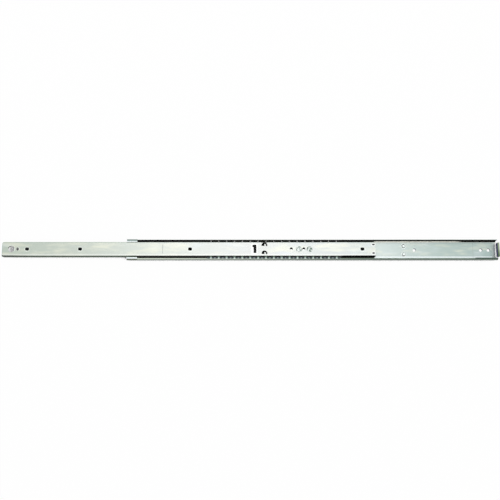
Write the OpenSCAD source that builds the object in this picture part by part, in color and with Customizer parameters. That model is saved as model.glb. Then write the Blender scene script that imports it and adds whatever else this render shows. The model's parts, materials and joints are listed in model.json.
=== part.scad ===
/* [Slide] */
// Length of the cabinet member, without its rear tab
slide_len = 609.6; // [500:0.1:720]
// Height of the cabinet member
slide_h = 35; // [33:0.1:37]
// Thickness of the whole slide, from the cabinet face to the drawer face
slide_t = 12.7; // [12.4:0.1:14]
// How much longer the drawer member is than the cabinet member
drawer_extra = 3.7; // [0:0.1:8]
// Height of the drawer member
drawer_h = 24.6; // [24:0.1:25]
// How far the drawer member stands ahead of the cabinet member
pulled_out = 204.1; // [190:0.1:260]

/* [Sheet] */
// Sheet thickness of the cabinet member
cabinet_t = 1.2; // [1:0.05:1.3]
// Sheet thickness of the drawer member
drawer_t = 1.2; // [1:0.05:1.3]
// Sheet thickness of the ball cage
cage_t = 0.7; // [0.5:0.05:0.9]
// Bend radius between web and flange of the cabinet member, at mid sheet
cabinet_bend_r = 2; // [1.7:0.05:2.2]
// Bend radius between web and flange of the drawer member, at mid sheet
drawer_bend_r = 1.6; // [1.2:0.05:1.9]
// Radius where the flanges turn into the ball grooves, at mid sheet
groove_fillet_r = 1.2; // [1:0.05:1.3]
// How deep the groove crest stands above the shoulder of the cabinet flange
shoulder_drop = 1; // [0.8:0.05:1.1]

/* [Balls] */
// Number of balls in each row
ball_count = 17; // [9:1:20]
// Ball diameter
ball_d = 4.76; // [4.5:0.01:4.9]
// Distance between balls
ball_pitch = 12.93; // [10:0.01:14]
// Gap between a ball and its grooves
ball_gap = 0.08; // [0.05:0.01:0.12]
// Depth of the ball row behind the drawer face
ball_depth = 6.35; // [6.2:0.05:6.6]
// Gap between a ball and its pocket in the cage
pocket_gap = 0.07; // [0.05:0.01:0.12]
// Length of cage beyond its end balls
cage_margin = 5.95; // [4:0.05:8]
// Distance from the front of the cabinet member to the front of the cage
cage_from_front = 132.8; // [120:0.1:150]
// Distance of the cage strips past the ball row, towards the drawer
cage_lip = 3; // [2.6:0.05:3.1]
// Gap between the cage and the web of the cabinet member
cage_web_gap = 0.3; // [0.2:0.05:0.4]
// Bend radius of the cage, at mid sheet
cage_bend_r = 1; // [0.8:0.05:1.2]
// Length of each bridge that joins the two cage strips
cage_bridge = 12; // [8:0.5:16]
// Number of windows between the bridges
cage_windows = 3; // [2:1:5]
// Width of the flat strip that is left along each side of a window
cage_window_rim = 4; // [3:0.1:6]

/* [Cabinet member] */
// Distance from the front end to the first screw hole
front_setback = 37; // [28:0.5:60]
// Distances of the other screw holes behind the first
cabinet_holes = [32, 224, 438.2];
// Distances of the rear screw holes from the rear end
cabinet_rear_holes = [24.2, 11.5];
// Diameter of the cabinet screw holes
cabinet_hole_d = 5; // [4:0.1:6]
// Height of the lip that is left in front of the upper groove
lip_h = 1.8; // [1.7:0.1:2.4]
// Height of the lip that is left in front of the lower groove
low_lip_h = 3; // [1.7:0.1:3]
// Height of the lips of the front end, which are rolled in towards the drawer member
crimp_lip_h = 4.7; // [3.6:0.1:4.8]
// Length of the rolled lips at the front end
crimp_len = 17.3; // [12:0.1:24]
// Height of the lower lip at the rear end, which the cage never reaches
rear_lip_h = 3.9; // [3.1:0.1:4.2]
// Distance from the rear end to where that higher lip begins
rear_lip_lower = 36; // [20:0.5:50]
// Distance from the rear end to the two dimples that stop the cage
dimple_from_rear = 151.9; // [140:0.1:153]
// Height of the dimples above and below the middle
dimple_z = 6.9; // [5:0.1:8]
// Diameter of the dimples
dimple_d = 7.4; // [6:0.1:9]
// How far the dimples stand into the channel
dimple_h = 1.6; // [1.4:0.1:2]

/* [Rear tab] */
// Distance from the rear end of the flat web to the front face of the rear tab
tab_behind = 1.2; // [0.8:0.1:2]
// Height of the rear tab
tab_h = 22; // [16:0.5:23]
// How far the middle of the rear tab is below the middle of the slide
tab_drop = 0.5; // [0:0.1:0.8]
// How far the rear tab stands from the cabinet face
tab_reach = 12; // [10:0.1:12.4]
// Bend radius of the rear tab, at mid sheet
tab_bend_r = 1.4; // [1:0.1:2]
// Thickness of rubber in front of the tab
bumper_front = 0.6; // [0.6:0.1:3]
// Thickness of rubber behind the tab
bumper_back = 1.0; // [0.8:0.1:2]
// Thickness of rubber over the edges of the tab
bumper_edge = 0.6; // [0.4:0.1:0.7]
// Height at which the rubber begins, from the cabinet face
bumper_base = 4; // [3.5:0.1:6]

/* [Front stop] */
// Distance from the front end to the rear face of the stop
stop_from_front = 24; // [21:0.5:30]
// How far the stop stands from the cabinet face
stop_reach = 6.4; // [5.6:0.1:7.4]
// Lowest height of the stop
stop_low = 0.6; // [0.4:0.1:0.8]
// Height of the stop, from its lower to its upper edge
stop_w = 4.6; // [3.5:0.1:5.5]
// Length of the window that the stop was bent out of
stop_window = 6; // [4:0.1:8]

/* [Drawer member] */
// Distances of the screw holes from the front end
drawer_holes = [41, 128, 308.6];
// Distance of the last screw hole from the rear end
drawer_rear_hole = 21.5; // [16:0.5:30]
// Diameter of the drawer screw holes
drawer_hole_d = 4.6; // [4:0.1:5.2]
// Diameter of the countersinks on the drawer face
countersink_d = 7; // [6:0.1:8]
// Depth of the countersinks
countersink_depth = 0.6; // [0.3:0.05:0.8]
// Distance of the large hole from the front end
access_from_front = 15.1; // [12:0.1:17]
// Diameter of the large hole
access_d = 10; // [8:0.1:12]
// Distance of the small hole from the front end
pilot_from_front = 25.4; // [24:0.1:30]
// Diameter of the small hole
pilot_d = 4.6; // [3:0.1:5]
// Radius of the upper front corner of the drawer member
drawer_corner_r = 3.5; // [2:0.1:5]
// Radius of the lower front corner of the drawer member
drawer_low_corner_r = 0.8; // [0.5:0.1:3]
// Distance of the scored line from the front end
score_from_front = 263.5; // [220:0.5:290]
// Height of the scored line
score_h = 15; // [8:0.5:18]
// Width and depth of the scored line
score_w = 0.6; // [0.4:0.1:0.8]

/* [Release lever] */
// Distance of the lever pivot from the rear end of the drawer member
pivot_from_rear = 125.8; // [110:0.1:140]
// Distance from the lever pivot to the finger slot
lever_arm = 72.2; // [66:0.1:80]
// Thickness of the lever
lever_t = 1.2; // [1:0.05:1.4]
// Gap between the lever and the web of the drawer member
lever_gap = 0.3; // [0.2:0.05:0.4]
// Width of the lever at its pivot
lever_head_w = 11; // [10:0.1:13]
// Width of the lever's tail, behind its pivot
lever_tail_w = 5.2; // [4.8:0.1:6]
// How far the hook and the grip drop when the lever is pressed
lever_drop = 3; // [2.6:0.1:3.4]
// Distance of the hook's end from the cabinet face
hook_reach = 4.2; // [3.6:0.1:4.8]
// Height of the hook
hook_w = 3.4; // [3:0.1:4]
// Diameter of the pivot and spring rivets
rivet_d = 4; // [3.5:0.1:4.5]
// Gap between the pivot rivet and its hole in the lever
pivot_gap = 0.05; // [0.03:0.01:0.08]
// Diameter of the rivet heads on the drawer face
rivet_head_d = 9.6; // [8:0.1:10]
// Thickness of the rivet heads on the drawer face
rivet_head_t = 0.7; // [0.6:0.05:0.8]
// Diameter of the rivets' tail heads, behind the lever
rivet_tail_d = 6.4; // [5.5:0.1:7]
// Thickness of the rivets' tail heads
rivet_tail_t = 0.9; // [0.6:0.05:1.2]
// Distance from the pivot to the spring rivet
spring_rivet_from_pivot = 17.3; // [16:0.1:20]
// Distances of the two sight holes, ahead of and behind the pivot
sight_holes = [-12.6, 7.9];
// Diameter of the sight holes
sight_d = 4.8; // [4:0.1:5.2]
// Height of the sight holes above the pivot
sight_rise = 0.6; // [0:0.1:1]
// Thickness of the return spring's leaf
spring_t = 0.5; // [0.3:0.05:0.6]
// Distance of the leaf above the lever's tail, which rises when pressed
spring_lift = 0.8; // [0.7:0.05:1]

/* [Slots and lances] */
// Width of the finger slot
slot_w = 3.6; // [3:0.1:4]
// Upper end of the finger slot
slot_top = 7; // [6.2:0.1:7.4]
// Lower end of the finger slot
slot_bottom = -6; // [-6.5:0.1:-5.2]
// How far the finger slot widens forward at its upper end
slot_flag = 2.1; // [1.5:0.1:3]
// Height of the widened upper end of the finger slot
slot_flag_h = 3.4; // [2.5:0.1:4]
// Distance from the lever pivot forward to the two round lances
lance_from_pivot = 56.6; // [50:0.1:62]
// Distance of each lance's middle from the line halfway between the two
lance_z = 6.7; // [6.2:0.1:7]
// Height of that line above the middle of the slide
lance_rise = 0.9; // [0:0.1:1]
// Width of a lance
lance_w = 8; // [6:0.1:9]
// Height of a lance
lance_h = 5.6; // [5:0.1:6]
// Width of the cut round the rounded side of a lance's tongue
lance_cut = 1.1; // [0.8:0.1:1.4]
// Distance of the tongue's straight front edge ahead of the lance's middle
lance_slit = 0.4; // [0.2:0.1:1]
// How far a lance's tongue is pressed back at its free end
lance_press = 1.2; // [0.8:0.1:1.6]
// Distance of the two small rear slots from the rear end
rear_slot_from_rear = 3.4; // [3:0.1:6]
// Distance of each rear slot from the line halfway between the two
rear_slot_z = 7.1; // [6:0.1:8]
// Height of that line above the middle of the slide
rear_slot_rise = 0.7; // [0:0.1:1]
// Length and height of a rear slot
rear_slot_w = 3.4; // [2.4:0.1:3.8]
rear_slot_h = 2; // [1.4:0.1:2.2]

/* [Hidden] */
$fn = 48;
arc_step = 9;
over = 1;
seat = 0.3;

cabinet_x0 = -front_setback;
cabinet_x1 = cabinet_x0 + slide_len;
tab_x = cabinet_x1 + tab_behind;
drawer_len = slide_len + drawer_extra;
drawer_x0 = cabinet_x0 - pulled_out;
drawer_x1 = drawer_x0 + drawer_len;
ball_r = ball_d / 2;
ball_u = slide_t - ball_depth;
cabinet_groove_r = ball_r + ball_gap + cabinet_t / 2;
drawer_groove_r = ball_r + ball_gap + drawer_t / 2;
ball_z = slide_h / 2 - cabinet_t / 2 - cabinet_groove_r;
cage_x0 = cabinet_x0 + cage_from_front;
cage_len = (ball_count - 1) * ball_pitch + 2 * cage_margin;
pivot_x = drawer_x1 - pivot_from_rear;
spring_rivet_x = pivot_x + spring_rivet_from_pivot;
slot_x = pivot_x - lever_arm;
web_u = slide_t - drawer_t;
lever_u = web_u - lever_gap;

function two_digits(i) = i < 10 ? str("0", i) : str(i);
function ball_name(row, i) = str("ball_", row, "_", two_digits(i));

// Sheet profiles: a profile is a chain of arcs through the middle of the sheet,
// each [depth, height, radius, first angle, last angle, side]. Side is 1 where
// the arc turns round the inside of the member and -1 where it turns the other
// way. Depth is measured from the cabinet face towards the drawer.
function arc_points(a, off) =
    let (n = max(1, ceil(abs(a[4] - a[3]) / arc_step)), r = a[2] + a[5] * off)
    a[4] == a[3]
        ? [[-a[0] - r * cos(a[3]), a[1] + r * sin(a[3])]]
        : [for (i = [0:n])
            let (t = a[3] + (a[4] - a[3]) * i / n)
            [-a[0] - r * cos(t), a[1] + r * sin(t)]];
function without_repeats(p) =
    [for (i = [0:len(p) - 1]) if (i == 0 || norm(p[i] - p[max(0, i - 1)]) > 0.001) p[i]];
function half_points(arcs, off) = without_repeats([for (a = arcs) each arc_points(a, off)]);
function mirrored(points) =
    [for (i = [len(points) - 1:-1:0]) [points[i][0], -points[i][1]]];
function reversed(points) = [for (i = [len(points) - 1:-1:0]) points[i]];
function side_points(arcs, off) =
    let (half = half_points(arcs, off)) concat(mirrored(half), half);

// A sheet of the given profile, symmetric about the middle, along the slide
module channel(arcs, sheet, x0, length)
    translate([x0, 0, 0]) rotate([90, 0, 90]) linear_extrude(length)
        polygon(concat(side_points(arcs, sheet / 2), reversed(side_points(arcs, -sheet / 2))));

// A round bar across the slide, from one depth to another
module across(x, z, d, from_u, to_u)
    translate([x, -from_u, z]) rotate([90, 0, 0]) cylinder(d = d, h = to_u - from_u);

// A round cone across the slide
module cone_across(x, z, d0, d1, from_u, to_u)
    translate([x, -from_u, z]) rotate([90, 0, 0]) cylinder(d1 = d0, d2 = d1, h = to_u - from_u);

// A block given by its lowest and highest x, depth and z
module block(x, u, z)
    translate([x[0], -u[1], z[0]]) cube([x[1] - x[0], u[1] - u[0], z[1] - z[0]]);

// A flat plate drawn in x and z, from one depth to another
module plate(from_u, to_u)
    translate([0, -from_u, 0]) rotate([90, 0, 0]) linear_extrude(to_u - from_u) children();

// Chain of the cabinet member: web bend, shoulder, groove crest and lip
function cabinet_arcs() =
    let (shoulder_z = slide_h / 2 - cabinet_t / 2 - shoulder_drop,
         reach = cabinet_groove_r + groove_fillet_r,
         b = acos((shoulder_z + groove_fillet_r - ball_z) / reach),
         lip_end = asin((slide_h / 2 - crimp_lip_h - ball_z) / cabinet_groove_r))
    [[cabinet_t / 2 + cabinet_bend_r, shoulder_z - cabinet_bend_r, cabinet_bend_r, 180, 90, 1],
     [ball_u - reach * sin(b), ball_z + reach * cos(b), groove_fillet_r, -90, b - 90, -1],
     [ball_u, ball_z, cabinet_groove_r, 90 + b, 90, 1],
     [ball_u, ball_z, cabinet_groove_r, 90, lip_end, 1]];

// Chain of the drawer member: web bend, flange, groove and rear edge
function drawer_arcs() =
    let (flange_z = drawer_h / 2 - drawer_t / 2,
         reach = drawer_groove_r + groove_fillet_r,
         a = asin((ball_z + groove_fillet_r - flange_z) / reach))
    [[slide_t - drawer_t / 2 - drawer_bend_r, flange_z - drawer_bend_r, drawer_bend_r, 0, 90, 1],
     [ball_u + reach * cos(a), flange_z - groove_fillet_r, groove_fillet_r, 90, 180 - a, 1],
     [ball_u, ball_z, drawer_groove_r, -a, -90, -1],
     [ball_u, ball_z, drawer_groove_r, -90, a - 180, -1],
     [ball_u - reach * cos(a), flange_z - groove_fillet_r, groove_fillet_r, a, 90, 1]];

// Chain of the cage: its web bends into the strips that carry the balls
cage_u = cabinet_t + cage_web_gap + cage_t / 2;
function cage_arcs() =
    [[cage_u + cage_bend_r, ball_z - cage_bend_r, cage_bend_r, 180, 90, 1],
     [ball_u + cage_lip, ball_z, 0, 90, 90, 1]];

// Cuts a lip back to its height: side is 1 for the upper lip and -1 for the lower
module lip_trim(x0, x1, side, height) {
    low = slide_h / 2 - height;
    depth = cabinet_groove_r + cabinet_t;
    mirror([0, 0, side < 0 ? 1 : 0])
        block([x0, x1], [ball_u, ball_u + depth], [drawer_h / 2, low]);
}

module cabinet_holes_cut() {
    far = cabinet_t + over;
    across(0, 0, cabinet_hole_d, -over, far);
    for (x = cabinet_holes) across(x, 0, cabinet_hole_d, -over, far);
    for (x = cabinet_rear_holes) across(cabinet_x1 - x, 0, cabinet_hole_d, -over, far);
}

// The stop is bent out of the web and leaves a window in front of it
module front_stop() {
    x1 = cabinet_x0 + stop_from_front;
    block([x1 - cabinet_t, x1], [0, stop_reach], [stop_low, stop_low + stop_w]);
}

module front_stop_window() {
    x1 = cabinet_x0 + stop_from_front - cabinet_t;
    block([x1 - stop_window, x1], [-over, cabinet_t + over], [stop_low, stop_low + stop_w]);
}

module dimple(z) {
    x = cabinet_x1 - dimple_from_rear;
    cone_across(x, z, dimple_d, dimple_d - 2 * dimple_h, cabinet_t / 2, cabinet_t + dimple_h);
}

module dimple_back(z) {
    x = cabinet_x1 - dimple_from_rear;
    inner_d = dimple_d - 2 * cabinet_t;
    cone_across(x, z, inner_d, inner_d - dimple_h, 0, dimple_h);
}

// The rear tab: the end of the web, bent up towards the drawer
module rear_tab() {
    r = tab_bend_r;
    t = cabinet_t;
    steps = 6;
    outer = [for (i = [0:steps]) let (a = 90 * i / steps)
        [tab_x - r + t / 2 + (r + t / 2) * sin(a), -(r + t / 2) * (1 - cos(a))]];
    inner = [for (i = [steps:-1:0]) let (a = 90 * i / steps)
        [tab_x - r + t / 2 + (r - t / 2) * sin(a), -t - (r - t / 2) * (1 - cos(a))]];
    root = tab_x - r - t;
    tip = [[tab_x + t, -tab_reach], [tab_x, -tab_reach]];
    translate([0, 0, -tab_drop - tab_h / 2]) linear_extrude(tab_h)
        polygon(concat([[root, 0]], outer, tip, inner, [[root, -t]]));
}

module cabinet_member() color("#c3cac6") {
    far = cabinet_x1 + cabinet_t + over;
    tab_root = tab_x - tab_bend_r - cabinet_t / 2;
    relief_z = tab_h / 2 + cabinet_t / 2;
    difference() {
        union() {
            channel(cabinet_arcs(), cabinet_t, cabinet_x0, slide_len + cabinet_t);
            front_stop();
            for (z = [-dimple_z, dimple_z]) dimple(z);
        }
        lip_trim(cabinet_x0 + crimp_len, far, 1, lip_h);
        lip_trim(cabinet_x0 + crimp_len, cabinet_x1 - rear_lip_lower, -1, low_lip_h);
        lip_trim(cabinet_x1 - rear_lip_lower, far, -1, rear_lip_h);
        cabinet_holes_cut();
        front_stop_window();
        for (z = [-dimple_z, dimple_z]) dimple_back(z);
        block([tab_root, far], [-over, cabinet_t + over], [-tab_drop - relief_z, relief_z - tab_drop]);
    }
    rear_tab();
}

// The finger slot is widened towards the front at its upper end
module finger_slot() {
    r = slot_w / 2;
    across(slot_x, slot_top - r, slot_w, web_u - over, slide_t + over);
    across(slot_x, slot_bottom + r, slot_w, web_u - over, slide_t + over);
    block([slot_x - r, slot_x + r], [web_u - over, slide_t + over], [slot_bottom + r, slot_top - r]);
    block([slot_x - r - slot_flag, slot_x], [web_u - over, slide_t + over],
        [slot_top - slot_flag_h, slot_top]);
}

// A lance: a tongue cut free round its rear side and top, pressed back, with an
// open wedge ahead of its straight front edge
lance_heights = [lance_rise - lance_z, lance_rise + lance_z];

module lance_arch(r, below) {
    translate([0, lance_h - lance_w / 2]) circle(r = r);
    translate([-r, -below]) square([2 * r, lance_h - lance_w / 2 + below]);
}

module lance_window(x, z)
    translate([x, 0, z - lance_h / 2]) plate(web_u - over, slide_t + over) intersection() {
        lance_arch(lance_w / 2, 0);
        polygon([[-lance_slit, 0], [-lance_w / 2, 0.7 * lance_h], [-lance_w / 2, lance_h],
            [lance_w / 2, lance_h], [lance_w / 2, 0]]);
    }

module lance_tongue(x, z) {
    tilt = asin(lance_press / (lance_h - lance_cut));
    root = drawer_t / 4;
    translate([x, -slide_t, z - lance_h / 2 - root]) rotate([-tilt, 0, 0])
        rotate([90, 0, 0]) translate([0, root, -drawer_t]) linear_extrude(drawer_t)
            intersection() {
                lance_arch(lance_w / 2 - lance_cut, root);
                translate([-lance_slit, -root]) square([lance_w, lance_h + root]);
            }
}

module drawer_corner_cut(side, r) {
    z = drawer_h / 2;
    mirror([0, 0, side < 0 ? 1 : 0]) difference() {
        block([drawer_x0 - over, drawer_x0 + r], [0, slide_t + over], [z - r, z + over]);
        across(drawer_x0 + r, z - r, 2 * r, -over, slide_t + 2 * over);
    }
}

module screw_hole(x) {
    across(x, 0, drawer_hole_d, web_u - over, slide_t + over);
    cone_across(x, 0, drawer_hole_d, countersink_d, slide_t - countersink_depth, slide_t);
}

module rear_slot(z) {
    x = drawer_x1 - rear_slot_from_rear;
    r = rear_slot_h / 2;
    side = rear_slot_w / 2 - r;
    for (end = [x - side, x + side]) across(end, z, rear_slot_h, web_u - over, slide_t + over);
    block([x - side, x + side], [web_u - over, slide_t + over], [z - r, z + r]);
}

module drawer_member() color("#d7dcd8") {
    difference() {
        channel(drawer_arcs(), drawer_t, drawer_x0, drawer_len);
        drawer_corner_cut(1, drawer_corner_r);
        drawer_corner_cut(-1, drawer_low_corner_r);
        for (x = drawer_holes) screw_hole(drawer_x0 + x);
        screw_hole(drawer_x1 - drawer_rear_hole);
        across(drawer_x0 + access_from_front, 0, access_d, web_u - over, slide_t + over);
        across(drawer_x0 + pilot_from_front, 0, pilot_d, web_u - over, slide_t + over);
        block([drawer_x0 + score_from_front, drawer_x0 + score_from_front + score_w],
            [slide_t - score_w / 2, slide_t + over], [-score_h / 2, score_h / 2]);
        finger_slot();
        for (z = lance_heights) lance_window(pivot_x - lance_from_pivot, z);
        for (x = sight_holes) across(pivot_x + x, sight_rise, sight_d, web_u - over, slide_t + over);
        for (x = [pivot_x, spring_rivet_x]) {
            across(x, 0, rivet_d + 2 * pivot_gap, web_u - over, slide_t + over);
            across(x, 0, rivet_head_d + 2 * pivot_gap, slide_t - drawer_t / 2, slide_t + over);
        }
        for (z = [rear_slot_rise - rear_slot_z, rear_slot_rise + rear_slot_z]) rear_slot(z);
    }
    for (z = lance_heights) lance_tongue(pivot_x - lance_from_pivot, z);
}

module ball_cage() color("#8d9494") {
    window = (cage_len - cage_bridge) / cage_windows - cage_bridge;
    rim = ball_z - cage_window_rim;
    difference() {
        channel(cage_arcs(), cage_t, cage_x0, cage_len);
        for (i = [0:cage_windows - 1]) {
            x = cage_x0 + cage_bridge + i * (window + cage_bridge);
            block([x, x + window], [cabinet_t, cage_u + cage_t], [-rim, rim]);
        }
        for (i = [1:ball_count])
            translate([ball_x(i), -ball_u, -slide_h / 2])
                cylinder(d = ball_d + 2 * pocket_gap, h = slide_h);
    }
}

function ball_x(i) = cage_x0 + cage_margin + (i - 1) * ball_pitch;

module ball(i, side) color("#e6e9ea")
    translate([ball_x(i), -ball_u, side * ball_z]) sphere(d = ball_d);

// The lever lies behind the drawer web: a head on the pivot, an arm, and at its
// end a hook that meets the front stop and a finger tab that stands in the slot
lever_back_u = lever_u - lever_t;
hook_top = stop_low - seat + lever_drop;
hook_low = hook_top - hook_w;
module finger_tab()
    block([slot_x - lever_t / 2, slot_x + lever_t / 2], [hook_reach, slide_t - seat], [hook_low, hook_top]);

module release_lever() color("#b4bab8") {
    widening_x = pivot_x - lever_arm / 2;
    head_x = pivot_x - lever_head_w / 3;
    tail_x = spring_rivet_x - rivet_tail_d / 2 - lever_t;
    difference() {
        union() {
            across(pivot_x, 0, lever_head_w, lever_back_u, lever_u);
            plate(lever_back_u, lever_u) polygon([
                [slot_x - lever_t / 2, hook_low], [widening_x, hook_low], [head_x, -lever_head_w * 0.4],
                [pivot_x, 0], [head_x, lever_head_w * 0.4], [widening_x, hook_top],
                [slot_x - lever_t / 2, hook_top]]);
            block([pivot_x, tail_x], [lever_back_u, lever_u], [-lever_tail_w / 2, lever_tail_w / 2]);
            finger_tab();
        }
        across(pivot_x, 0, rivet_d + 2 * pivot_gap, lever_back_u - over, lever_u + over);
    }
}

// Moulded grip over the finger tab, with room in the slot to drop
module lever_grip() color("#17181a") {
    side = slot_w / 2 - seat;
    low = slot_bottom + lever_drop + seat;
    difference() {
        union() {
            across(slot_x, low + side, 2 * side, web_u, slide_t - seat / 2);
            block([slot_x - side, slot_x + side], [web_u, slide_t - seat / 2], [low + side, hook_top + seat]);
        }
        finger_tab();
    }
}

// Bent leaf round the spring rivet, bearing on the tail of the lever
module lever_spring() color("#9ea5a3") {
    eye_d = rivet_d + 4 * spring_t + 2;
    leaf_z = lever_tail_w / 2 + spring_lift;
    leaf_x0 = pivot_x + sqrt(pow(lever_head_w / 2, 2) - pow(leaf_z, 2)) + 2 * seat;
    difference() {
        union() {
            across(spring_rivet_x, 0, eye_d, lever_u - spring_t, lever_u);
            block([spring_rivet_x - spring_t, spring_rivet_x + spring_t], [lever_u - spring_t, lever_u],
                [0, leaf_z + spring_t]);
            block([leaf_x0, spring_rivet_x + spring_t], [lever_back_u, lever_u], [leaf_z, leaf_z + spring_t]);
        }
        across(spring_rivet_x, 0, rivet_d + 2 * pivot_gap, lever_back_u - over, lever_u + over);
    }
}

// A rivet: a flat head let into the drawer face, a shank and a tail head
module rivet(x, tail_u) {
    across(x, 0, rivet_head_d, slide_t - drawer_t / 2, slide_t - drawer_t / 2 + rivet_head_t);
    across(x, 0, rivet_d, tail_u, slide_t - drawer_t / 2);
    across(x, 0, rivet_tail_d, tail_u - rivet_tail_t, tail_u);
}

module pivot_rivet() color("#a9b0ac") rivet(pivot_x, lever_back_u - lever_gap / 2);

module spring_rivet() color("#a9b0ac") rivet(spring_rivet_x, lever_u - spring_t);

// Rubber sleeve over the rear tab, which the closing drawer member meets
module rear_bumper() color("#1d2223") {
    z = tab_h / 2 + bumper_edge;
    translate([0, 0, -tab_drop]) difference() {
        block([tab_x - bumper_front, tab_x + cabinet_t + bumper_back],
            [bumper_base, tab_reach + bumper_edge], [-z, z]);
        block([tab_x, tab_x + cabinet_t], [0, tab_reach], [-tab_h / 2, tab_h / 2]);
    }
}

cabinet_member();
drawer_member();
ball_cage();
release_lever();
lever_grip();
lever_spring();
pivot_rivet();
spring_rivet();
rear_bumper();
for (i = [1:ball_count]) {
    ball(i, 1);
    ball(i, -1);
}
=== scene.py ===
import json
import math

import bpy
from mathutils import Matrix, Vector


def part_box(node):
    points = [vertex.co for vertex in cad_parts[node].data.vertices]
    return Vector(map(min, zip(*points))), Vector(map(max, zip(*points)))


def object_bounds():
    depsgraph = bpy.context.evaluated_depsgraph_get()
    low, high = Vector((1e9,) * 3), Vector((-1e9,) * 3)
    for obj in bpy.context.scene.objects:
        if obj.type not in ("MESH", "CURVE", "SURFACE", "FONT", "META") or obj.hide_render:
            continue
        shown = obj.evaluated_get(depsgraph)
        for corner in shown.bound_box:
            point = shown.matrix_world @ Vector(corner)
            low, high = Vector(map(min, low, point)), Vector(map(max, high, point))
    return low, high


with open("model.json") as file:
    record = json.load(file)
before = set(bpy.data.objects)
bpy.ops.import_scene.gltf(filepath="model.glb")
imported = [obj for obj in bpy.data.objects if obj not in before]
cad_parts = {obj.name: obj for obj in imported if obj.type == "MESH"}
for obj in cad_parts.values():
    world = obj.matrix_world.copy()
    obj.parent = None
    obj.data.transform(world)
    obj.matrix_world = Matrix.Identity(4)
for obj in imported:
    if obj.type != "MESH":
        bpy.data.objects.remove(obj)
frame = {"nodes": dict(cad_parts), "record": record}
cad_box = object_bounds()
bpy.ops.object.select_all(action="DESELECT")

MM = 0.001
EVEN = (1, 1, 1)
WHITE = (1.0, 1.0, 1.0)


# ---------------------------------------------------------------- shader maths

class Tap:
    """A socket of a node tree that adds, multiplies and compares like a number."""

    def __init__(self, tree, socket):
        self.tree = tree
        self.socket = socket

    def maths(self, operation, *others):
        return self.node("ShaderNodeMath", {"operation": operation}, [self, *others])

    def node(self, kind, settings, values, out=0):
        return add_node(self.tree, kind, settings, values, out)

    def __add__(self, other):
        return self.maths("ADD", other)

    def __radd__(self, other):
        return self.maths("ADD", other)

    def __sub__(self, other):
        return self.maths("SUBTRACT", other)

    def __rsub__(self, other):
        return add_node(self.tree, "ShaderNodeMath", {"operation": "SUBTRACT"}, [other, self])

    def __mul__(self, other):
        return self.maths("MULTIPLY", other)

    def __rmul__(self, other):
        return self.maths("MULTIPLY", other)

    def __truediv__(self, other):
        return self.maths("DIVIDE", other)

    def __pow__(self, other):
        return self.maths("POWER", other)

    def __neg__(self):
        return self.maths("MULTIPLY", -1.0)

    def __abs__(self):
        return self.maths("ABSOLUTE")

    def root(self):
        return self.maths("SQRT")

    def least(self, other):
        return self.maths("MINIMUM", other)

    def most(self, other):
        return self.maths("MAXIMUM", other)

    def ramp(self, start, end, low=0.0, high=1.0):
        """Goes smoothly from low at start to high at end, and stays there."""
        return self.node(
            "ShaderNodeMapRange",
            {"interpolation_type": "SMOOTHSTEP"},
            {"Value": self, "From Min": start, "From Max": end, "To Min": low, "To Max": high},
        )


def add_node(tree, kind, settings, values, out=0):
    """Adds one node, with its settings made first, and gives one of its outputs."""
    node = tree.nodes.new(kind)
    for name, value in settings.items():
        if name == "stops":
            ramp = node.color_ramp
            while len(ramp.elements) < len(value):
                ramp.elements.new(0.5)
            for element, (place, colour) in zip(ramp.elements, value):
                element.position = place
                element.color = (*colour, 1.0)
        else:
            setattr(node, name, value)
    pairs = values.items() if isinstance(values, dict) else enumerate(values)
    for place, value in pairs:
        if isinstance(value, Tap):
            tree.links.new(value.socket, node.inputs[place])
        else:
            node.inputs[place].default_value = value
    return Tap(tree, node.outputs[out]) if len(node.outputs) else None


class Finish:
    """A material with its Principled shader and the object's own coordinates."""

    def __init__(self, name):
        self.material = bpy.data.materials.new(name)
        self.material.use_nodes = True
        self.tree = self.material.node_tree
        self.shader = self.tree.nodes["Principled BSDF"]
        self.place = add_node(self.tree, "ShaderNodeTexCoord", {}, {}, "Object")
        self.x, self.y, self.z = (
            add_node(self.tree, "ShaderNodeSeparateXYZ", {}, [self.place], axis) for axis in "XYZ"
        )

    def node(self, kind, settings, values, out=0):
        return add_node(self.tree, kind, settings, values, out)

    def set(self, **values):
        for name, value in values.items():
            socket = self.shader.inputs[name.replace("_", " ")]
            if isinstance(value, Tap):
                self.tree.links.new(value.socket, socket)
            else:
                socket.default_value = value

    def vector(self, x, y, z):
        return self.node("ShaderNodeCombineXYZ", {}, [x, y, z])

    def noise(self, stretch, scale, detail, roughness, seed=0.0):
        """Noise from 0 to 1 about 0.5, stretched along an axis where its factor is small."""
        where = self.vector(self.x * stretch[0] + seed, self.y * stretch[1], self.z * stretch[2])
        return self.node(
            "ShaderNodeTexNoise",
            {},
            {"Vector": where, "Scale": scale, "Detail": detail, "Roughness": roughness},
        )

    def blend(self, amount, first, second):
        """Colour that goes from first to second as amount goes from 0 to 1."""
        settings = {"data_type": "RGBA", "blend_type": "MIX"}
        values = {0: amount}
        for place, colour in ((6, first), (7, second)):
            values[place] = colour if isinstance(colour, Tap) else (*colour, 1.0)
        return self.node("ShaderNodeMix", settings, values, 2)

    def away(self, x, z):
        """Distance from a point (x, z), seen from the front."""
        a = self.x - x
        b = self.z - z
        return (a * a + b * b).root()

    def near(self, x, z, radius, soft):
        """1 within radius of a point (x, z), fading over soft."""
        return self.away(x, z).ramp(radius + soft, radius)

    def from_ball(self):
        """Distance along the slide to the middle of the nearest ball."""
        return ((self.x - FIRST_BALL) / BALL_PITCH).maths("PINGPONG", 0.5) * BALL_PITCH

    def bump(self, height, depth, strength):
        """Normal that shows height, from 0 to 1, as a relief of depth metres."""
        return self.node(
            "ShaderNodeBump", {}, {"Strength": strength, "Distance": depth, "Height": height}
        )


# ---------------------------------------------------------------- named places

def middle_of(node):
    low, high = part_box(node)
    return [(a + b) / 2 for a, b in zip(low, high)]


def around(middle, half):
    return (middle - half, middle + half)


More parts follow.
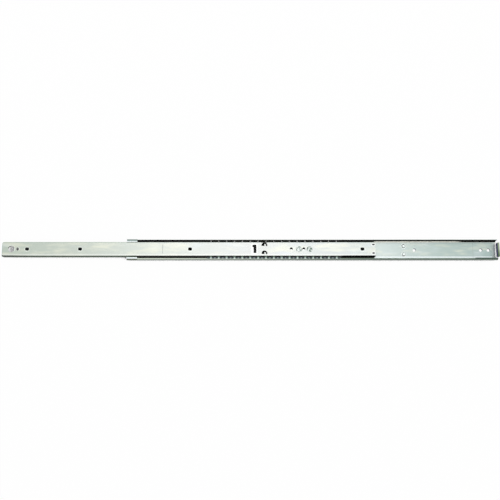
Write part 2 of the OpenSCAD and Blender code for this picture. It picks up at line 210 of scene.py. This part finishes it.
cabinet_low, cabinet_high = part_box("cabinet_member")
drawer_low, drawer_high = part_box("drawer_member")
_, ball_y, ball_z = middle_of("ball_upper_01")
pivot_x = middle_of("pivot_rivet")[0]
spring_x = middle_of("spring_rivet")[0]
slot_x = middle_of("lever_grip")[0]

# cage and balls
CAGE_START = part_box("ball_cage")[0][0]
CAGE_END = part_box("ball_cage")[1][0]
FIRST_BALL = middle_of("ball_upper_01")[0]
BALL_PITCH = middle_of("ball_upper_02")[0] - FIRST_BALL

# cabinet member, from front to rear; a pair is where a line or a change starts and ends
ROLLED_LIPS_END = cabinet_low[0] + 17.3 * MM
CABINET_HOLES = (0.0, 0.032, 0.224, 0.4382, 0.5484, 0.5611)
CABINET_HOLE_R = 2.5 * MM
CREST_HIGHLIGHT_FADES = (0.36, 0.46)
LOW_LIP_DARK = 0.39
DIMPLE_X = 0.4207
DIMPLE_Z = 6.9 * MM
REAR_CORNER_SHADE = (0.505, 0.520)
CROSS_LINE = (0.5353, 0.5358)
REAR_LIP_START = 0.5366
WEB_LIGHTENS_NEAR_TAB = (0.5655, 0.5690)
TAB_BEND = (0.5718, 0.5722)

# drawer member, from front to rear
ACCESS_HOLE = drawer_low[0] + 15.1 * MM
ACCESS_HOLE_R = 5.0 * MM
PILOT_HOLE = drawer_low[0] + 25.4 * MM
PILOT_HOLE_R = 2.3 * MM
DRAWER_HOLES = [drawer_low[0] + x * MM for x in (41.0, 128.0, 308.6)] + [drawer_high[0] - 21.5 * MM]
COUNTERSINK_R = 3.5 * MM
TOP_EDGE_SHADE_SPAN = (-0.02, -0.06)
SCORE_X = drawer_low[0] + 263.5 * MM
SLOT_SURROUND = ((slot_x - 5.2 * MM, slot_x + 3.2 * MM), (-7.2 * MM, 8.2 * MM))
SLOT_POLE = (around(slot_x, 2.3 * MM), (-6.4 * MM, 7.4 * MM))
SLOT_FLAG = ((slot_x - 4.1 * MM, slot_x), (3.4 * MM, 7.2 * MM))
LANCE_X = pivot_x - 56.6 * MM
LANCE_BOTTOMS = (-8.6 * MM, 4.8 * MM)
SIGHT_HOLES = (pivot_x - 12.6 * MM, pivot_x + 7.9 * MM)
REAR_SLOT_X = drawer_high[0] - 3.4 * MM
REAR_SLOTS_Z = (-6.4 * MM, 7.8 * MM)

# black for greasy places and for painted shade
GREASE_AND_SHADE_BLACK = (0.004, 0.0045, 0.004)
# black spots of painted shade on the cabinet web behind the drawer member's openings: x, z and
# radius of each
BEHIND_OPENINGS = [(x, 0.0, 3.5 * MM) for x in DRAWER_HOLES[2:]]
BEHIND_OPENINGS += [(LANCE_X, z + 3.0 * MM, 4.5 * MM) for z in LANCE_BOTTOMS]
BEHIND_OPENINGS += [(REAR_SLOT_X, z, 2.5 * MM) for z in REAR_SLOTS_Z]


# ---------------------------------------------------------------- finishes

class Zinc(Finish):
    """Bright zinc plate on rolled strip: tint along the strip, partly painted light, clouding and
    rolled grain.
    """

    def __init__(self, name, span, stops):
        super().__init__(name)
        self.up = abs(self.z)
        self.depth = -self.y
        along = (self.x - span[0]) / (span[1] - span[0])
        self.tint = self.node("ShaderNodeValToRGB", {"stops": stops}, [along], "Color")
        self.clouds = self.noise((0.7, 2.4, 2.4), 26.0, 4.0, 0.62)
        warm = self.noise((0.4, 1.8, 1.8), 60.0, 3.0, 0.55, 5.0)
        self.wear((0.93, 0.92, 0.74), warm.ramp(0.46, 0.72) * 0.38)
        self.wear((0.80, 0.86, 0.90), self.clouds.ramp(0.52, 0.74) * 0.30)
        self.streaks = self.noise((0.03, 1.0, 1.0), 2400.0, 3.0, 0.6, 3.0)
        self.wear((0.50, 0.53, 0.50), self.streaks.ramp(0.4, 0.8) * 0.18)
        self.relief = self.streaks * 0.6 + self.clouds * 0.4
        self.grease_and_shade = self.x * 0.0

    def smear_grease_and_shade(self, amount):
        """Lays black that is not metallic: greasy in places, painted shade in others."""
        self.wear(GREASE_AND_SHADE_BLACK, amount)
        self.grease_and_shade = self.grease_and_shade.most(amount)

    def wear(self, colour, amount):
        """Lays a colour over what is there; used for the plate's own tone and wear, and for painted
        light and shade.
        """
        self.tint = self.blend(amount, self.tint, colour)

    def band(self, value, low, high, soft):
        """1 where value is between low and high, with soft sides."""
        return value.ramp(low - soft, low) * value.ramp(high + soft, high)

    def patch(self, x, z, soft=0.1 * MM):
        """1 in a rectangle from its lowest and highest x and z."""
        return self.band(self.x, *x, soft) * self.band(self.z, *z, soft)

    def ring(self, x, z, radius, width, soft=0.25 * MM):
        """1 in a ring round a hole's rim."""
        return self.band(self.away(x, z), radius, radius + width, soft)

    def done(self):
        self.set(
            Base_Color=self.tint,
            Metallic=1.0 - self.grease_and_shade,
            Specular_IOR_Level=0.0,
            Roughness=self.clouds * 0.08 + self.streaks * 0.1 + 0.32,
            Normal=self.bump(self.relief, 0.00004, 0.4),
        )
        return self.material


def cabinet_zinc():
    zinc = Zinc("cabinet_zinc_plate", (cabinet_low[0], cabinet_high[0]), [
        # tint along the strip, partly painted light: paler over the front half and darker towards
        # the rear, as the light fell
        (0.0, (0.74, 0.79, 0.77)),
        (0.30, (0.84, 0.88, 0.82)),
        (0.60, (0.70, 0.76, 0.70)),
        (0.69, (0.60, 0.68, 0.66)),
        (0.86, (0.47, 0.57, 0.54)),
        (1.0, (0.42, 0.53, 0.51)),
    ])
    on_web = zinc.band(zinc.depth, 1.0 * MM, 2.4 * MM, 0.2 * MM)
    flat_web = zinc.up.ramp(13.0 * MM, 12.0 * MM)
    under_drawer = zinc.x.ramp(drawer_high[0] + 0.4 * MM, drawer_high[0] - 1.2 * MM)
    # bends beside the web: a painted highlight on the lower bend with painted shade in the corner
    # under it, and a warm painted highlight on the upper bend
    low_bend = zinc.band(zinc.z, -13.1 * MM, -10.6 * MM, 0.6 * MM)
    zinc.wear((0.84, 0.91, 0.92), low_bend * on_web * 0.8)
    top_bend = zinc.band(zinc.z, 13.4 * MM, 15.0 * MM, 0.3 * MM)
    zinc.wear((1.0, 1.0, 0.90), top_bend * on_web)
    low_corner = zinc.band(zinc.z, -15.6 * MM, -13.7 * MM, 0.2 * MM)
    zinc.wear((0.06, 0.07, 0.06), low_corner * on_web * 0.9)
    # painted shade on the web under the longer rear lip
    rear_lip = zinc.x.ramp(REAR_LIP_START - 4 * MM, REAR_LIP_START + 3 * MM)
    zinc.wear((0.25, 0.28, 0.27), rear_lip * zinc.z.ramp(-12.9 * MM, -13.3 * MM) * on_web)
    # rear of the web: painted light, paler up to the tab's bend and a white painted highlight on
    # and behind the bend, with a faint line before
    at_tab = zinc.blend(zinc.x.ramp(*TAB_BEND), (0.58, 0.66, 0.62), WHITE)
    zinc.wear(at_tab, zinc.x.ramp(*WEB_LIGHTENS_NEAR_TAB) * flat_web)
    cross_line = zinc.band(zinc.x, *CROSS_LINE, 0.2 * MM) * flat_web
    zinc.wear((0.30, 0.35, 0.33), cross_line * 0.4)
    # painted shadow: dark crescents beside the screw holes; dimples painted pale as lit, with a
    # painted shadow crescent in each
    for x in CABINET_HOLES:
        side = (zinc.x - x + zinc.z).ramp(0.5 * MM, 2.4 * MM)
        rim = zinc.ring(x, 0.0, CABINET_HOLE_R, 0.7 * MM)
        zinc.wear((0.20, 0.24, 0.26), rim * side * 0.8)
    for z in (-DIMPLE_Z, DIMPLE_Z):
        zinc.wear((0.80, 0.86, 0.84), zinc.near(DIMPLE_X, z, 3.9 * MM, 0.8 * MM))
        rim = zinc.ring(DIMPLE_X, z, 3.0 * MM, 0.7 * MM, 0.4 * MM)
        side = (zinc.z - z + zinc.x - DIMPLE_X).ramp(0.0, 3.0 * MM)
        zinc.wear((0.36, 0.42, 0.41), rim * side * 0.5)
    # outer faces of the lips, painted light: a highlight along the crest that fades to the rear;
    # the lower lip pale at the front, darker to the rear and pale at its underside, with painted
    # shade at its rear
    lip = zinc.depth.ramp(6.0 * MM, 6.6 * MM) * zinc.up.ramp(12.0 * MM, 12.6 * MM)
    rolled = zinc.x.ramp(ROLLED_LIPS_END + 0.3 * MM, ROLLED_LIPS_END)
    crest = zinc.z.ramp(16.3 * MM, 16.6 * MM)
    zinc.wear((0.97, 1.0, 0.98), crest * zinc.x.ramp(*CREST_HIGHLIGHT_FADES, 0.9, 0.6))
    olive = zinc.blend(zinc.x.ramp(0.0, LOW_LIP_DARK), (0.90, 1.0, 0.85), (0.24, 0.32, 0.25))
    low_lip = zinc.z.ramp(-13.2 * MM, -13.4 * MM) * zinc.z.ramp(-17.0 * MM, -16.5 * MM)
    zinc.wear(olive, lip * low_lip)
    zinc.wear((0.62, 0.68, 0.64), lip * zinc.z.ramp(-16.4 * MM, -16.9 * MM) * 0.9)
    low_rear = rear_lip * zinc.band(zinc.z, -15.0 * MM, -13.0 * MM, 0.3 * MM)
    zinc.wear((0.07, 0.10, 0.09), lip * low_rear)
    # rolled front ends: painted shade outside and at the bottom, painted highlights where they turn
    # in
    rolled_face = lip * rolled
    low_roll = zinc.band(zinc.z, -15.4 * MM, -12.6 * MM, 0.3 * MM)
    zinc.wear((0.20, 0.26, 0.235), rolled_face * zinc.z.ramp(13.9 * MM, 14.3 * MM))
    turned_in = zinc.band(zinc.up, 12.6 * MM, 13.9 * MM, 0.4 * MM)
    zinc.wear((0.92, 0.99, 1.0), rolled_face * turned_in)
    zinc.wear((0.90, 0.97, 0.98), rolled_face * low_roll)
    zinc.wear((0.31, 0.35, 0.27), rolled_face * zinc.z.ramp(-15.6 * MM, -15.9 * MM))
    # the lower lip's edge: painted shade, with painted glints at the balls and a paler painted
    # reflection between them
    in_cage = zinc.band(zinc.x, CAGE_START, CAGE_END, 2 * MM)
    ball = zinc.from_ball()
    low_edge = lip * in_cage * zinc.band(zinc.z, -15.0 * MM, -14.0 * MM, 0.3 * MM)
    zinc.wear((0.14, 0.18, 0.17), low_edge)
    zinc.wear((0.92, 1.0, 0.96), low_edge * ball.ramp(2.4 * MM, 1.0 * MM))
    zinc.wear((0.50, 0.56, 0.56), low_edge * ball.ramp(5.2 * MM, 6.0 * MM))
    # black in the ball races, on the shoulders beside them, along the upper lip's edge and in the
    # rear corner: greasy and partly painted shade in the races, painted shade elsewhere; under the
    # drawer member the web is painted dark as shade, with black spots of painted shade behind the
    # openings
    to_ball = ((zinc.y - ball_y) ** 2.0 + (zinc.up - ball_z) ** 2.0).root()
    race = to_ball.ramp(2.95 * MM, 2.7 * MM)
    shoulder = zinc.up.ramp(15.1 * MM, 15.2 * MM) * zinc.up.ramp(16.45 * MM, 16.35 * MM)
    shoulder = shoulder * zinc.band(zinc.depth, 2.2 * MM, 8.0 * MM, 0.2 * MM)
    edge = zinc.z.ramp(16.45 * MM, 16.25 * MM) * zinc.z.ramp(14.9 * MM, 15.1 * MM)
    edge = edge * zinc.depth.ramp(8.0 * MM, 8.3 * MM) * (1.0 - rolled)
    top_strip = zinc.z.ramp(13.2 * MM, 13.9 * MM) * zinc.z.ramp(15.7 * MM, 15.5 * MM)
    rear_corner_shade = zinc.x.ramp(*REAR_CORNER_SHADE) * top_strip * zinc.depth.ramp(0.9 * MM, 1.15 * MM)
    web_face = zinc.depth.ramp(1.0 * MM, 1.15 * MM) * zinc.depth.ramp(3.0 * MM, 2.6 * MM)
    inside = under_drawer * web_face
    zinc.wear((0.08, 0.09, 0.05), inside * zinc.band(zinc.up, 12.0 * MM, 15.7 * MM, 0.2 * MM))
    zinc.wear((0.10, 0.11, 0.10), inside * zinc.up.ramp(9.5 * MM, 12.0 * MM))
    for x, z, radius in BEHIND_OPENINGS:
        zinc.smear_grease_and_shade(inside * zinc.near(x, z, radius, 2.5 * MM))
    zinc.smear_grease_and_shade(race.most(shoulder).most(rear_corner_shade).most(edge))
    # painted shade on the upper lip's edge between the balls
    zinc.wear((0.10, 0.13, 0.11), edge * in_cage * zinc.band(ball, 2.8 * MM, 3.8 * MM, 0.5 * MM))
    return zinc.done()


def drawer_zinc():
    zinc = Zinc("drawer_zinc_plate", (drawer_low[0], drawer_high[0]), [
        # tint along the strip, partly painted light: darker and greener at the front end, brightest
        # past the middle
        (0.0, (0.50, 0.57, 0.50)),
        (0.22, (0.58, 0.63, 0.57)),
        (0.40, (0.64, 0.685, 0.635)),
        (0.66, (0.655, 0.67, 0.66)),
        (0.86, (0.63, 0.665, 0.655)),
        (1.0, (0.60, 0.65, 0.635)),
    ])
    on_face = zinc.depth.ramp(12.0 * MM, 12.3 * MM)
    cut_wall = zinc.depth.ramp(12.62 * MM, 12.5 * MM)
    # the face's lower edge carries a painted highlight, its upper edge painted shade, and both are
    # painted darker as shadow under the rolled lips
    low_edge_highlight = zinc.band(zinc.z, -10.3 * MM, -8.4 * MM, 0.6 * MM) * on_face
    zinc.wear((0.86, 0.88, 0.84), low_edge_highlight * 0.5)
    top_edge_shade = zinc.z.ramp(10.0 * MM, 11.2 * MM) * on_face
    zinc.wear((0.34, 0.42, 0.36), top_edge_shade * zinc.x.ramp(*TOP_EDGE_SHADE_SPAN, 0.4, 0.8))
    under_roll = zinc.band(zinc.x, cabinet_low[0], ROLLED_LIPS_END, 0.5 * MM)
    zinc.wear((0.24, 0.27, 0.24), zinc.z.ramp(10.6 * MM, 11.4 * MM) * under_roll)
    zinc.wear((0.30, 0.32, 0.27), zinc.z.ramp(-10.3 * MM, -10.8 * MM) * under_roll)
    # front edge, a black spot at its lower corner, and the scored line
    edge = zinc.x.ramp(drawer_low[0] + 1.4 * MM, drawer_low[0] + 0.2 * MM)
    zinc.wear((0.30, 0.36, 0.32), edge * 0.6)
    corner = zinc.x.ramp(drawer_low[0] + 1.7 * MM, drawer_low[0] + 1.4 * MM)
    zinc.smear_grease_and_shade(corner * zinc.z.ramp(-9.6 * MM, -9.9 * MM) * 0.9)
    score = zinc.band(zinc.x, SCORE_X - 0.1 * MM, SCORE_X + 0.5 * MM, 0.3 * MM)
    zinc.wear((0.26, 0.28, 0.28), score * zinc.up.ramp(7.6 * MM, 7.2 * MM) * on_face * 0.6)
    # holes: pale rims painted as highlight, and countersinks painted black as shade
    for x in DRAWER_HOLES:
        rim = zinc.ring(x, 0.0, COUNTERSINK_R, 0.8 * MM)
        zinc.wear((0.93, 0.97, 0.92), rim * on_face * 0.5)
        zinc.smear_grease_and_shade(zinc.patch(around(x, 2.9 * MM), (-1.6 * MM, 2.4 * MM), 0.4 * MM))
    # large hole and pilot hole: a painted highlight on the rim to the rear and above, and a painted
    # shadow crescent at the top
    for x, radius in ((ACCESS_HOLE, ACCESS_HOLE_R), (PILOT_HOLE, PILOT_HOLE_R)):
        side = (zinc.x - x + zinc.z).ramp(-0.5 * MM, 2.0 * MM)
        halo = zinc.ring(x, 0.0, radius + 0.3 * MM, 0.9 * MM) * side
        zinc.wear((0.93, 0.97, 0.93), halo * on_face * 0.6)
        crescent = zinc.ring(x, 0.0, radius - 0.5 * MM, 0.9 * MM, 0.2 * MM)
        zinc.smear_grease_and_shade(crescent * zinc.z.ramp(0.5 * MM, 2.5 * MM))
    # pale halos painted as highlight round the slots, and painted shade on the cut walls and in the
    # openings of the slots, lances and sight holes
    pale_halo = (1.0, 1.0, 0.99)
    zinc.wear(pale_halo, zinc.patch(*SLOT_SURROUND, 1.2 * MM) * 0.5)
    dark = zinc.patch(*SLOT_POLE).most(zinc.patch(*SLOT_FLAG))
    for bottom in LANCE_BOTTOMS:
        x = zinc.x - LANCE_X
        z = (zinc.z - bottom - 1.6 * MM).most(0.0)
        radius = (x * x + z * z).root()
        height = (bottom - 0.2 * MM, bottom + 6.6 * MM)
        here = zinc.patch((LANCE_X - 4.9 * MM, LANCE_X + 4.8 * MM), height)
        clear = radius.ramp(2.65 * MM, 2.75 * MM).most(x.ramp(-0.3 * MM, -0.4 * MM))
        ring = radius.ramp(4.85 * MM, 4.7 * MM) * zinc.z.ramp(bottom + 0.4 * MM, bottom + 0.9 * MM)
        zinc.smear_grease_and_shade(here * clear * cut_wall.most(ring))
    for x in SIGHT_HOLES:
        dark = dark.most(zinc.near(x, 0.6 * MM, 2.7 * MM, 0.1 * MM) * cut_wall)
    for z in REAR_SLOTS_Z:
        rim = zinc.patch(around(REAR_SLOT_X, 2.6 * MM), around(z, 1.9 * MM), 0.4 * MM)
        zinc.wear(pale_halo, rim * on_face * 0.7)
        dark = dark.most(zinc.patch(around(REAR_SLOT_X, 1.9 * MM), around(z, 1.2 * MM)))
    zinc.smear_grease_and_shade(dark)
    # dark flanges where the balls run, greasy and partly painted shade; on the lower bend painted
    # shade: olive outside the cabinet member and darker towards the front end, a paler band above
    # it, and black inside the cabinet member and past the cage; black along the upper bend inside
    # it too
    in_cabinet = zinc.x.ramp(ROLLED_LIPS_END - 1.0 * MM, ROLLED_LIPS_END)
    flange = zinc.up.ramp(11.0 * MM, 11.2 * MM) * zinc.depth.ramp(11.0 * MM, 10.6 * MM)
    zinc.wear((0.09, 0.12, 0.09), flange)
    zinc.wear((0.17, 0.22, 0.17), zinc.z.ramp(-10.7 * MM, -11.1 * MM) * (1.0 - in_cabinet))
    to_front = zinc.x.ramp(drawer_low[0] + 60 * MM, drawer_low[0])
    zinc.wear((0.16, 0.18, 0.16), zinc.z.ramp(-9.7 * MM, -10.3 * MM) * to_front * 0.8)
    zinc.wear((0.45, 0.47, 0.45), zinc.z.ramp(-10.0 * MM, -10.5 * MM) * in_cabinet * 0.6)
    low_bend = zinc.z.ramp(-10.9 * MM, -11.3 * MM)
    past_cage = zinc.x.ramp(CAGE_END, CAGE_END + 4 * MM) * zinc.z.ramp(-10.2 * MM, -10.6 * MM)
    zinc.smear_grease_and_shade(in_cabinet * low_bend.most(past_cage).most(zinc.z.ramp(11.4 * MM, 11.8 * MM)))
    # painted reflection of the balls on the bend below: dark between them, with a glint at each
    # ball
    shine = low_bend * zinc.band(zinc.x, CAGE_START, CAGE_END, 2 * MM)
    on_flange = zinc.depth.ramp(11.0 * MM, 10.5 * MM)
    zinc.wear((0.05, 0.06, 0.075), shine * on_flange)
    ball = zinc.from_ball()
    zinc.wear((0.12, 0.19, 0.13), shine * ball.ramp(2.4 * MM, 1.0 * MM))
    zinc.wear((0.60, 0.70, 0.68), shine * on_flange * ball.ramp(1.6 * MM, 0.7 * MM))
    # painted shade: the inner faces of the channel darker
    inner = zinc.depth.ramp(11.55 * MM, 11.45 * MM) * zinc.up.ramp(11.2 * MM, 11.0 * MM)
    zinc.wear((0.10, 0.11, 0.10), inner * 0.8)
    return zinc.done()


def pressed_steel(name, dark, light, roughness, grain_scale):
    """Pressed steel with a directional grain, oil clouding and worn high spots."""
    finish = Finish(name)
    clouds = finish.noise(EVEN, 90.0, 4.0, 0.6)
    grain = finish.noise((0.08, 1.0, 1.0), grain_scale, 3.0, 0.6, 7.0)
    colour = finish.blend(clouds.ramp(0.35, 0.7), dark, light)
    colour = finish.blend(grain.ramp(0.55, 0.8) * 0.25, colour, (0.60, 0.61, 0.60))
    finish.set(
        Metallic=1.0,
        Roughness=roughness + clouds * 0.12,
        Normal=finish.bump(grain, 0.00003, 0.5),
    )
    return finish, colour


def cage_steel():
    """The cage is black above, greasy and painted as shade; below, its edge carries a painted
    reflection of the balls: glints at them, paler between, dark elsewhere.
    """
    finish, colour = pressed_steel(
        "cage_pressed_steel", (0.10, 0.11, 0.10), (0.20, 0.22, 0.21), 0.35, 1800.0
    )
    colour = finish.blend(finish.z.ramp(9.5 * MM, 10.5 * MM), colour, GREASE_AND_SHADE_BLACK)
    low_strip = finish.z.ramp(-12.5 * MM, -13.0 * MM) * (-finish.y).ramp(8.8 * MM, 9.2 * MM)
    ball = finish.from_ball()
    strip = finish.blend(ball.ramp(4.8 * MM, 5.8 * MM), (0.10, 0.13, 0.14), (0.40, 0.44, 0.46))
    strip = finish.blend(ball.ramp(1.8 * MM, 0.8 * MM), strip, (0.80, 0.95, 0.88))
    colour = finish.blend(low_strip, colour, strip)
    finish.set(Base_Color=colour)
    return finish.material


def lever_steel():
    """The lever's face is black, greasy and painted as shade, apart from two spots painted as light
    behind the sight holes.
    """
    finish, colour = pressed_steel(
        "lever_zinc_plate", (0.24, 0.26, 0.25), (0.36, 0.38, 0.37), 0.3, 2000.0
    )
    greasy_and_shaded = (-finish.y).ramp(11.0 * MM, 11.1 * MM)
    colour = finish.blend(greasy_and_shaded, colour, GREASE_AND_SHADE_BLACK)
    for x in SIGHT_HOLES:
        spot = finish.near(x, -1.3 * MM, 1.3 * MM, 0.5 * MM)
        colour = finish.blend(spot, colour, (0.85, 0.87, 0.86))
    finish.set(Base_Color=colour)
    return finish.material


def spring_steel():
    finish, colour = pressed_steel(
        "spring_steel_leaf", (0.30, 0.32, 0.33), (0.45, 0.47, 0.47), 0.25, 2400.0
    )
    finish.set(Base_Color=colour)
    return finish.material


def rivet_steel(centres):
    """Spun rivet heads: turning rings about each centre and a worn, mottled face."""
    finish = Finish("rivet_spun_steel")
    rings = 0.0
    rims = 0.0
    for x in centres:
        radius = finish.away(x, 0.0)
        here = radius.ramp(5.2 * MM, 5.0 * MM)
        rings = rings + ((radius * 7000.0).maths("SINE") * 0.5 + 0.5) * here
        rims = rims + radius.ramp(3.9 * MM, 4.6 * MM) * here
    mottle = finish.noise(EVEN, 300.0, 3.0, 0.6, 1.0)
    colour = finish.blend(mottle.ramp(0.45, 0.62), (0.14, 0.19, 0.16), (0.74, 0.78, 0.76))
    colour = finish.blend(rims * 0.3, colour, (0.55, 0.60, 0.58))
    finish.set(
        Base_Color=colour,
        Metallic=1.0,
        Roughness=0.3 + mottle * 0.25,
        Normal=finish.bump(rings * 0.4 + mottle * 0.6, 0.00008, 0.6),
    )
    return finish.material


def ball_steel():
    """Polished balls, black, greasy and painted as shade, apart from a narrow clean strip on the
    open side, where the glint shows.
    """
    finish = Finish("ball_polished_steel")
    side = finish.z.maths("SIGN")
    from_middle = finish.z - side * ball_z
    marks = finish.noise(EVEN, 1400.0, 3.0, 0.6)
    greasy_and_shaded = from_middle.ramp(1.1 * MM, 1.5 * MM).most(finish.from_ball().ramp(0.8 * MM, 1.3 * MM))
    colour = finish.blend(marks.ramp(0.4, 0.7) * 0.3, (0.98, 0.98, 0.98), (0.8, 0.82, 0.82))
    colour = finish.blend(greasy_and_shaded, colour, GREASE_AND_SHADE_BLACK)
    finish.set(
        Base_Color=colour,
        Metallic=1.0,
        Roughness=0.2 + marks * 0.1,
        Normal=finish.bump(marks, 0.00001, 0.3),
    )
    return finish.material


def black_moulding(name, colour, worn, roughness, grain):
    """Moulded plastic or rubber with a fine grain and paler worn spots."""
    finish = Finish(name)
    fine = finish.noise(EVEN, grain, 3.0, 0.6)
    wear = finish.noise(EVEN, 160.0, 4.0, 0.6, 2.0)
    tone = finish.blend(wear.ramp(0.5, 0.75) * 0.5, colour, worn)
    finish.set(
        Base_Color=tone,
        Metallic=0.0,
        Roughness=roughness + fine * 0.15,
        Normal=finish.bump(fine, 0.00008, 0.6),
        Specular_IOR_Level=0.2,
    )
    return finish, tone


def grip_plastic():
    finish, _ = black_moulding(
        "grip_black_plastic", (0.004, 0.004, 0.005), (0.01, 0.01, 0.011), 0.5, 2500.0
    )
    return finish.material


def bumper_rubber():
    """Rubber that is dark and bluish on its sides, with its outer face and rear painted olive as
    lit, lighter towards the top.
    """
    finish, tone = black_moulding(
        "bumper_rubber", (0.08, 0.075, 0.17), (0.11, 0.10, 0.22), 0.6, 1800.0
    )
    rear_face = cad_box[1][0]
    behind = finish.x.ramp(rear_face - 0.9 * MM, rear_face - 0.5 * MM)
    outer = (-finish.y).ramp(12.1 * MM, 12.5 * MM).most(behind)
    upwards = finish.z.ramp(-11.0 * MM, 6.0 * MM)
    lit_olive = finish.blend(upwards, (0.10, 0.17, 0.07), (0.34, 0.42, 0.29))
    finish.set(Base_Color=finish.blend(outer, tone, lit_olive))
    return finish.material


FINISHES = {
    "cabinet_zinc": cabinet_zinc(),
    "drawer_zinc": drawer_zinc(),
    "cage_steel": cage_steel(),
    "lever_steel": lever_steel(),
    "spring_steel": spring_steel(),
    "rivet_steel": rivet_steel((pivot_x, spring_x)),
    "ball_steel": ball_steel(),
    "black_plastic": grip_plastic(),
    "black_rubber": bumper_rubber(),
}
for part in frame["record"]["subparts"]:
    for slot in frame["nodes"][part["node"]].material_slots:
        slot.material = FINISHES[part["material_slot"]]


# ---------------------------------------------------------------- studio

def area_light(name, place, aim, width, height, radiance):
    """A soft panel whose brightness, radiance, stays the same whatever its size."""
    data = bpy.data.lights.new(name, "AREA")
    data.shape = "RECTANGLE"
    data.size = width
    data.size_y = height
    data.energy = radiance * math.pi * width * height
    lamp = bpy.data.objects.new(name, data)
    bpy.context.collection.objects.link(lamp)
    lamp.location = place
    lamp.rotation_euler = (Vector(aim) - Vector(place)).to_track_quat("-Z", "Y").to_euler()


middle_x = (cad_box[0][0] + cad_box[1][0]) / 2
slide_middle = (middle_x, 0.0, 0.0)
in_front = (middle_x + 0.03, -1.25, 0.40)
overhead = (middle_x, -0.45, 1.1)
area_light("front_softbox", in_front, slide_middle, width=0.8, height=0.5, radiance=1.2)
area_light("top_softbox", overhead, slide_middle, width=1.3, height=0.5, radiance=0.8)

# the world: white to the camera, an even light, and a room with a dim floor in reflections
EVEN_LIGHT = 0.8
DIM_FLOOR = 0.38

world = bpy.data.worlds.new("studio")
bpy.context.scene.world = world
world.use_nodes = True
sky = world.node_tree
sky.nodes.clear()
direction = add_node(sky, "ShaderNodeTexCoord", {}, {}, "Generated")
height = add_node(sky, "ShaderNodeSeparateXYZ", {}, [direction], "Z")
seen = add_node(sky, "ShaderNodeLightPath", {}, {}, "Is Camera Ray")
glossy = add_node(sky, "ShaderNodeLightPath", {}, {}, "Is Glossy Ray")
through = add_node(sky, "ShaderNodeLightPath", {}, {}, "Is Transmission Ray")
room = height.ramp(-0.75, -0.2, DIM_FLOOR, 1.0)
plain = (seen + through).least(1.0)
level = plain + (1.0 - plain) * (glossy * room + (1.0 - glossy) * EVEN_LIGHT)
shade = {"Color": (*WHITE, 1.0), "Strength": level}
background = add_node(sky, "ShaderNodeBackground", {}, shade)
add_node(sky, "ShaderNodeOutputWorld", {}, [background])


def paper(name, glow_share, dark, light, tilt, lifted=0.0):
    """Pale seamless paper: white where it is open, and shaded by what stands close to it.

    To the camera, glow_share of it is an even white that only the shading darkens, and the
    rest is lit paper. The shading measures how open the sky is in the direction tilt: full at
    dark, gone at light, and lifted below the slide. The paper shows from its front only, so a
    camera behind it looks through it."""
    finish = Finish(name)
    tree = finish.tree
    in_shade = (0.004, 0.005, 0.008)
    fibre = finish.noise(EVEN, 60.0, 3.0, 0.5)
    values = {"Distance": 0.03, "Normal": finish.vector(*tilt)}
    open_sky = add_node(tree, "ShaderNodeAmbientOcclusion", {"samples": 16}, values, "AO")
    open_sky = open_sky + finish.y.ramp(-16.4 * MM, -17.0 * MM) * lifted
    pale = finish.blend(fibre, (0.90, 0.90, 0.90), (0.93, 0.93, 0.93))
    pale = finish.blend(open_sky.ramp(0.23, 0.38), (0.01, 0.012, 0.016), pale)
    finish.set(Base_Color=pale, Roughness=0.8)
    lit = Tap(tree, finish.shader.outputs[0])
    colour = finish.blend(open_sky.ramp(dark, light), in_shade, WHITE)
    glow = add_node(tree, "ShaderNodeEmission", {}, {"Color": colour, "Strength": 1.0})
    clear = add_node(tree, "ShaderNodeBsdfTransparent", {}, {})
    under = add_node(tree, "ShaderNodeNewGeometry", {}, {}, "Backfacing")
    ray = add_node(tree, "ShaderNodeLightPath", {}, {}, "Is Camera Ray")
    shown = add_node(tree, "ShaderNodeMixShader", {}, [ray * glow_share, lit, glow])
    shown = add_node(tree, "ShaderNodeMixShader", {}, [under, shown, clear])
    tree.links.new(shown.socket, tree.nodes["Material Output"].inputs["Surface"])
    return finish.material


def paper_sheet(name, place, turn, material):
    bpy.ops.mesh.primitive_grid_add(x_subdivisions=8, y_subdivisions=8, size=8.0)
    sheet = bpy.context.object
    sheet.name = name
    sheet.location = place
    sheet.rotation_euler = turn
    sheet.data.materials.append(material)
    sheet.visible_glossy = False
    sheet.visible_diffuse = False
    sheet.visible_shadow = False


floor_paper = paper("floor_paper", 0.6, dark=0.15, light=0.9, tilt=(0.0, 0.0, 1.0))
backdrop_paper = paper(
    "backdrop_paper", 0.97, dark=0.32, light=0.39, tilt=(0.0, -0.94, 0.34), lifted=0.07
)
under_slide = (middle_x, 0.0, cad_box[0][2] - 0.2 * MM)
behind_slide = (middle_x, cad_box[1][1] + 0.3 * MM, 0.0)
paper_sheet("floor", under_slide, (0.0, 0.0, 0.0), floor_paper)
paper_sheet("backdrop", behind_slide, (math.pi / 2, 0.0, 0.0), backdrop_paper)


# ---------------------------------------------------------------- camera

ELEVATION = math.radians(-9.05)
DISTANCE = 1.1086
LENS = 48.24
SENSOR_WIDTH = 36.0
aim = Vector((0.166, -0.00402, 0.0))
back = Vector((0.0, -math.cos(ELEVATION), math.sin(ELEVATION)))
camera_data = bpy.data.cameras.new("camera")
camera_data.sensor_width = SENSOR_WIDTH
camera_data.lens = LENS
camera = bpy.data.objects.new("camera", camera_data)
bpy.context.collection.objects.link(camera)
camera.location = aim + back * DISTANCE
camera.rotation_euler = (-back).to_track_quat("-Z", "Y").to_euler()
bpy.context.scene.camera = camera

bpy.context.scene.view_settings.view_transform = "Standard"
